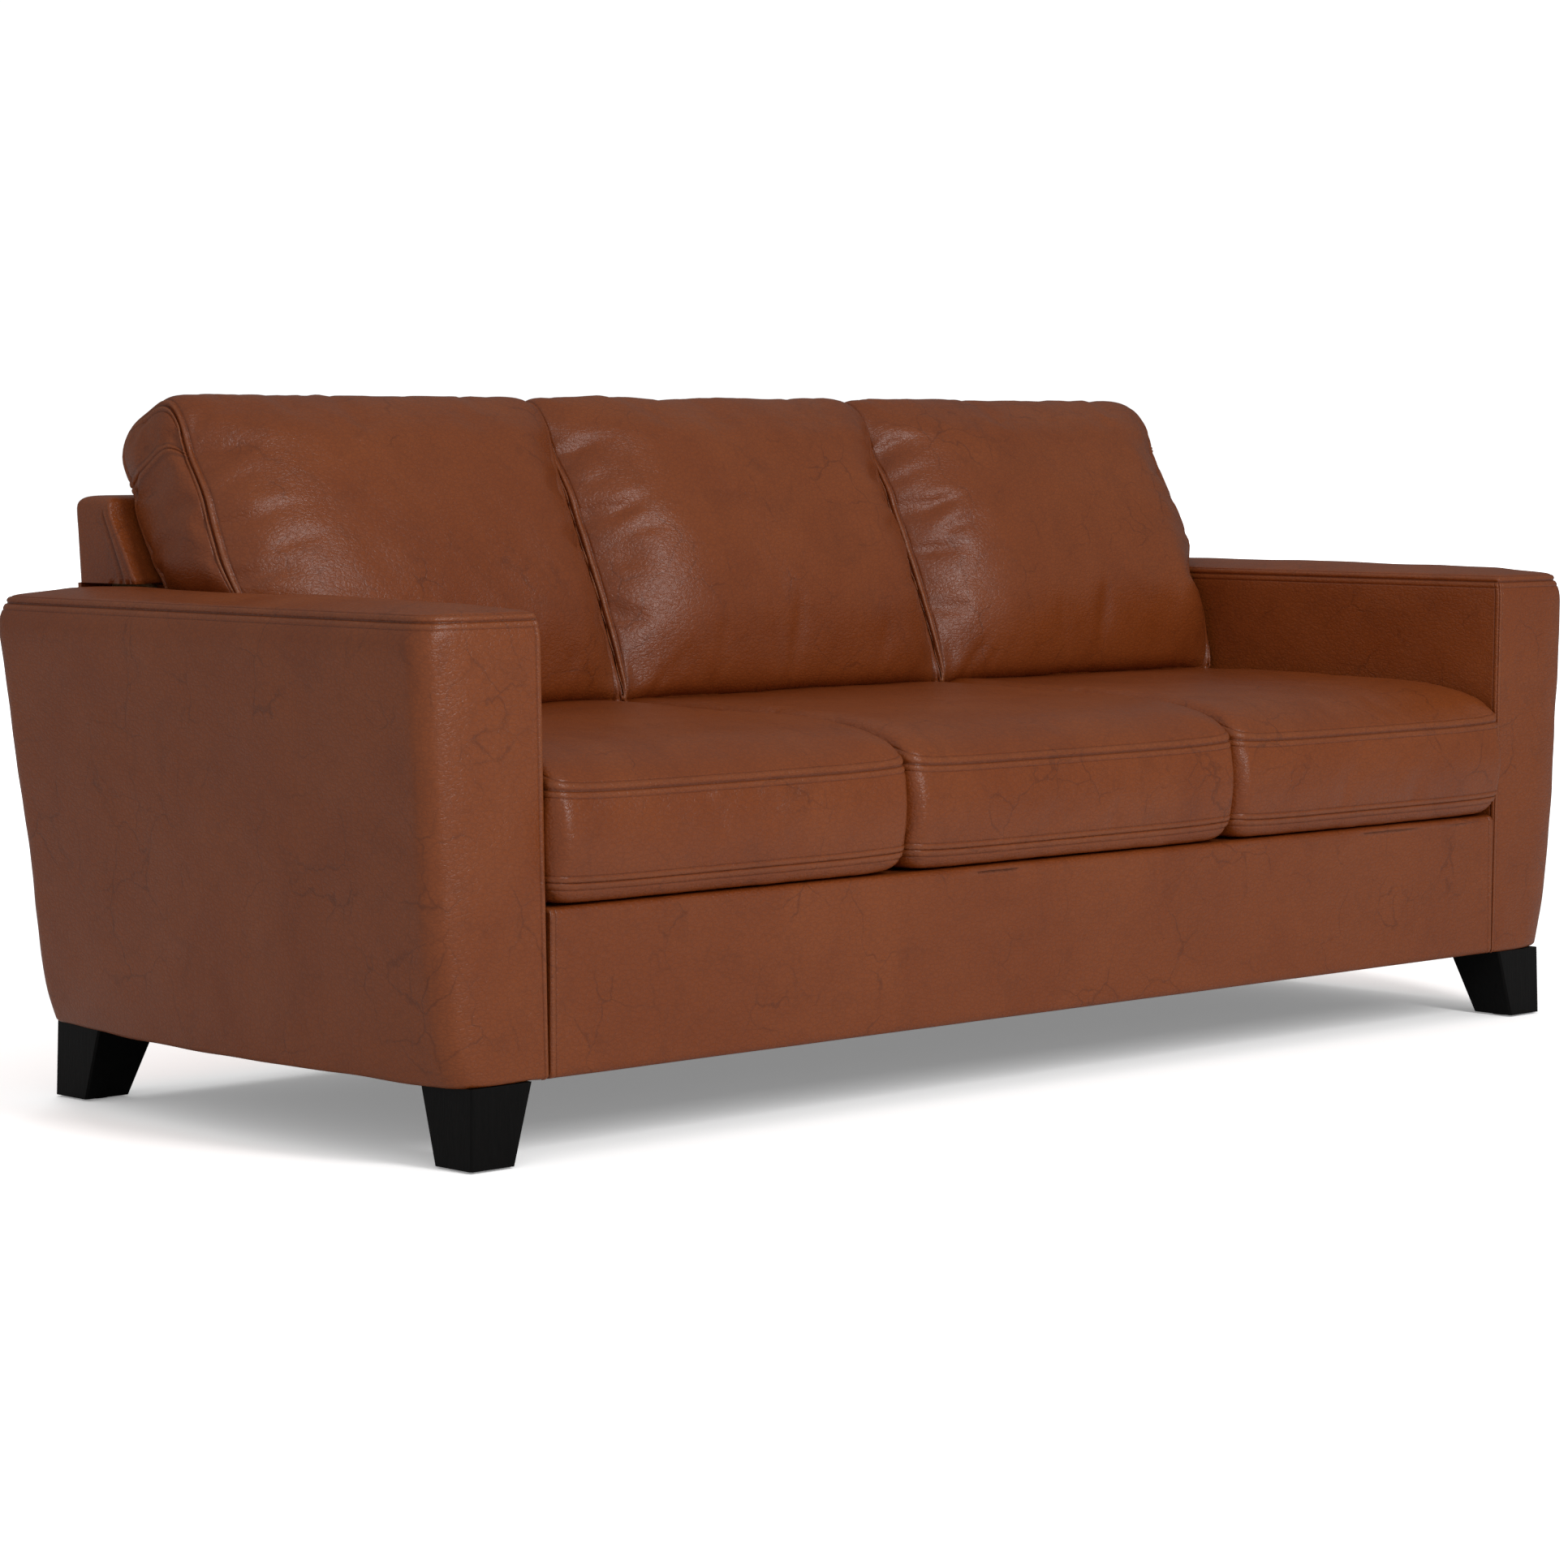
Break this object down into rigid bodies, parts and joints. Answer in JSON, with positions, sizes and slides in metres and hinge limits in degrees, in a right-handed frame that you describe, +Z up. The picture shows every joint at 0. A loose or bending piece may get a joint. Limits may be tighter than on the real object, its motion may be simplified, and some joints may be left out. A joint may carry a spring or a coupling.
{
  "type": "sofa",
  "caption": "Leather sofa with padded arms, loose boxed seat cushions, leaning back cushions and short tapered wooden legs.",
  "frame": {"origin": "on the floor, under the middle of the sofa's bounding box", "axes": "+Z up, +X along the sofa's length, to the right of a person who faces it, and the sofa's front faces -Y"},
  "size_m": [2.1332, 0.887, 0.884],
  "materials": {
    "leather": "satin",
    "leg_wood": "satin",
    "frame_wood": "matte",
    "steel": "satin",
    "black_cloth": "matte",
    "webbing": "matte",
    "nylon": "matte"
  },
  "bodies": {
    "root": {"leg_front_left": "leg_wood", "leg_bolt_front_left": "steel", "glide_front_left": "nylon", "corner_block_front_left": "frame_wood", "arm_front_post_left": "frame_wood", "leg_front_right": "leg_wood", "leg_bolt_front_right": "steel", "glide_front_right": "nylon", "corner_block_front_right": "frame_wood", "arm_front_post_right": "frame_wood", "leg_back_left": "leg_wood", "leg_bolt_back_left": "steel", "glide_back_left": "nylon", "corner_block_back_left": "frame_wood", "arm_back_post_left": "frame_wood", "leg_back_right": "leg_wood", "leg_bolt_back_right": "steel", "glide_back_right": "nylon", "corner_block_back_right": "frame_wood", "arm_back_post_right": "frame_wood", "base_end_rail_left": "frame_wood", "base_cross_rail_left": "frame_wood", "arm_top_rail_left": "frame_wood", "back_end_post_left": "frame_wood", "back_mid_post_left": "frame_wood", "arm_front_pad_left": "leather", "arm_outer_pad_left": "leather", "arm_inner_pad_left": "leather", "arm_top_pad_left": "leather", "back_end_pad_left": "leather", "base_end_rail_right": "frame_wood", "base_cross_rail_right": "frame_wood", "arm_top_rail_right": "frame_wood", "back_end_post_right": "frame_wood", "back_mid_post_right": "frame_wood", "arm_front_pad_right": "leather", "arm_outer_pad_right": "leather", "arm_inner_pad_right": "leather", "arm_top_pad_right": "leather", "back_end_pad_right": "leather", "base_front_rail": "frame_wood", "base_back_rail": "frame_wood", "back_bottom_rail": "frame_wood", "back_top_rail": "frame_wood", "back_outer_cover": "leather", "back_inner_pad": "leather", "back_top_pad": "leather", "front_rail_cover": "leather", "dust_cover": "black_cloth", "seat_deck": "black_cloth", "back_webbing": "webbing", "seat_springs_left": "steel", "seat_springs_centre": "steel", "seat_springs_right": "steel"},
    "seat_cushion_left": {"seat_cushion_left": "leather"},
    "seat_cushion_centre": {"seat_cushion_centre": "leather"},
    "seat_cushion_right": {"seat_cushion_right": "leather"},
    "back_cushion_left": {"back_cushion_left": "leather"},
    "back_cushion_centre": {"back_cushion_centre": "leather"},
    "back_cushion_right": {"back_cushion_right": "leather"}
  },
  "joints": [
    {"name": "seat_cushion_left_pull", "type": "slide", "parent": "root", "child": "seat_cushion_left", "axis": [0, -1, 0], "range_m": [0, 0.72]},
    {"name": "seat_cushion_centre_pull", "type": "slide", "parent": "root", "child": "seat_cushion_centre", "axis": [0, -1, 0], "range_m": [0, 0.72]},
    {"name": "seat_cushion_right_pull", "type": "slide", "parent": "root", "child": "seat_cushion_right", "axis": [0, -1, 0], "range_m": [0, 0.72]},
    {"name": "back_cushion_left_lift", "type": "slide", "parent": "root", "child": "back_cushion_left", "axis": [0, 0, 1], "range_m": [0, 0.45]},
    {"name": "back_cushion_centre_lift", "type": "slide", "parent": "root", "child": "back_cushion_centre", "axis": [0, 0, 1], "range_m": [0, 0.45]},
    {"name": "back_cushion_right_lift", "type": "slide", "parent": "root", "child": "back_cushion_right", "axis": [0, 0, 1], "range_m": [0, 0.45]}
  ]
}
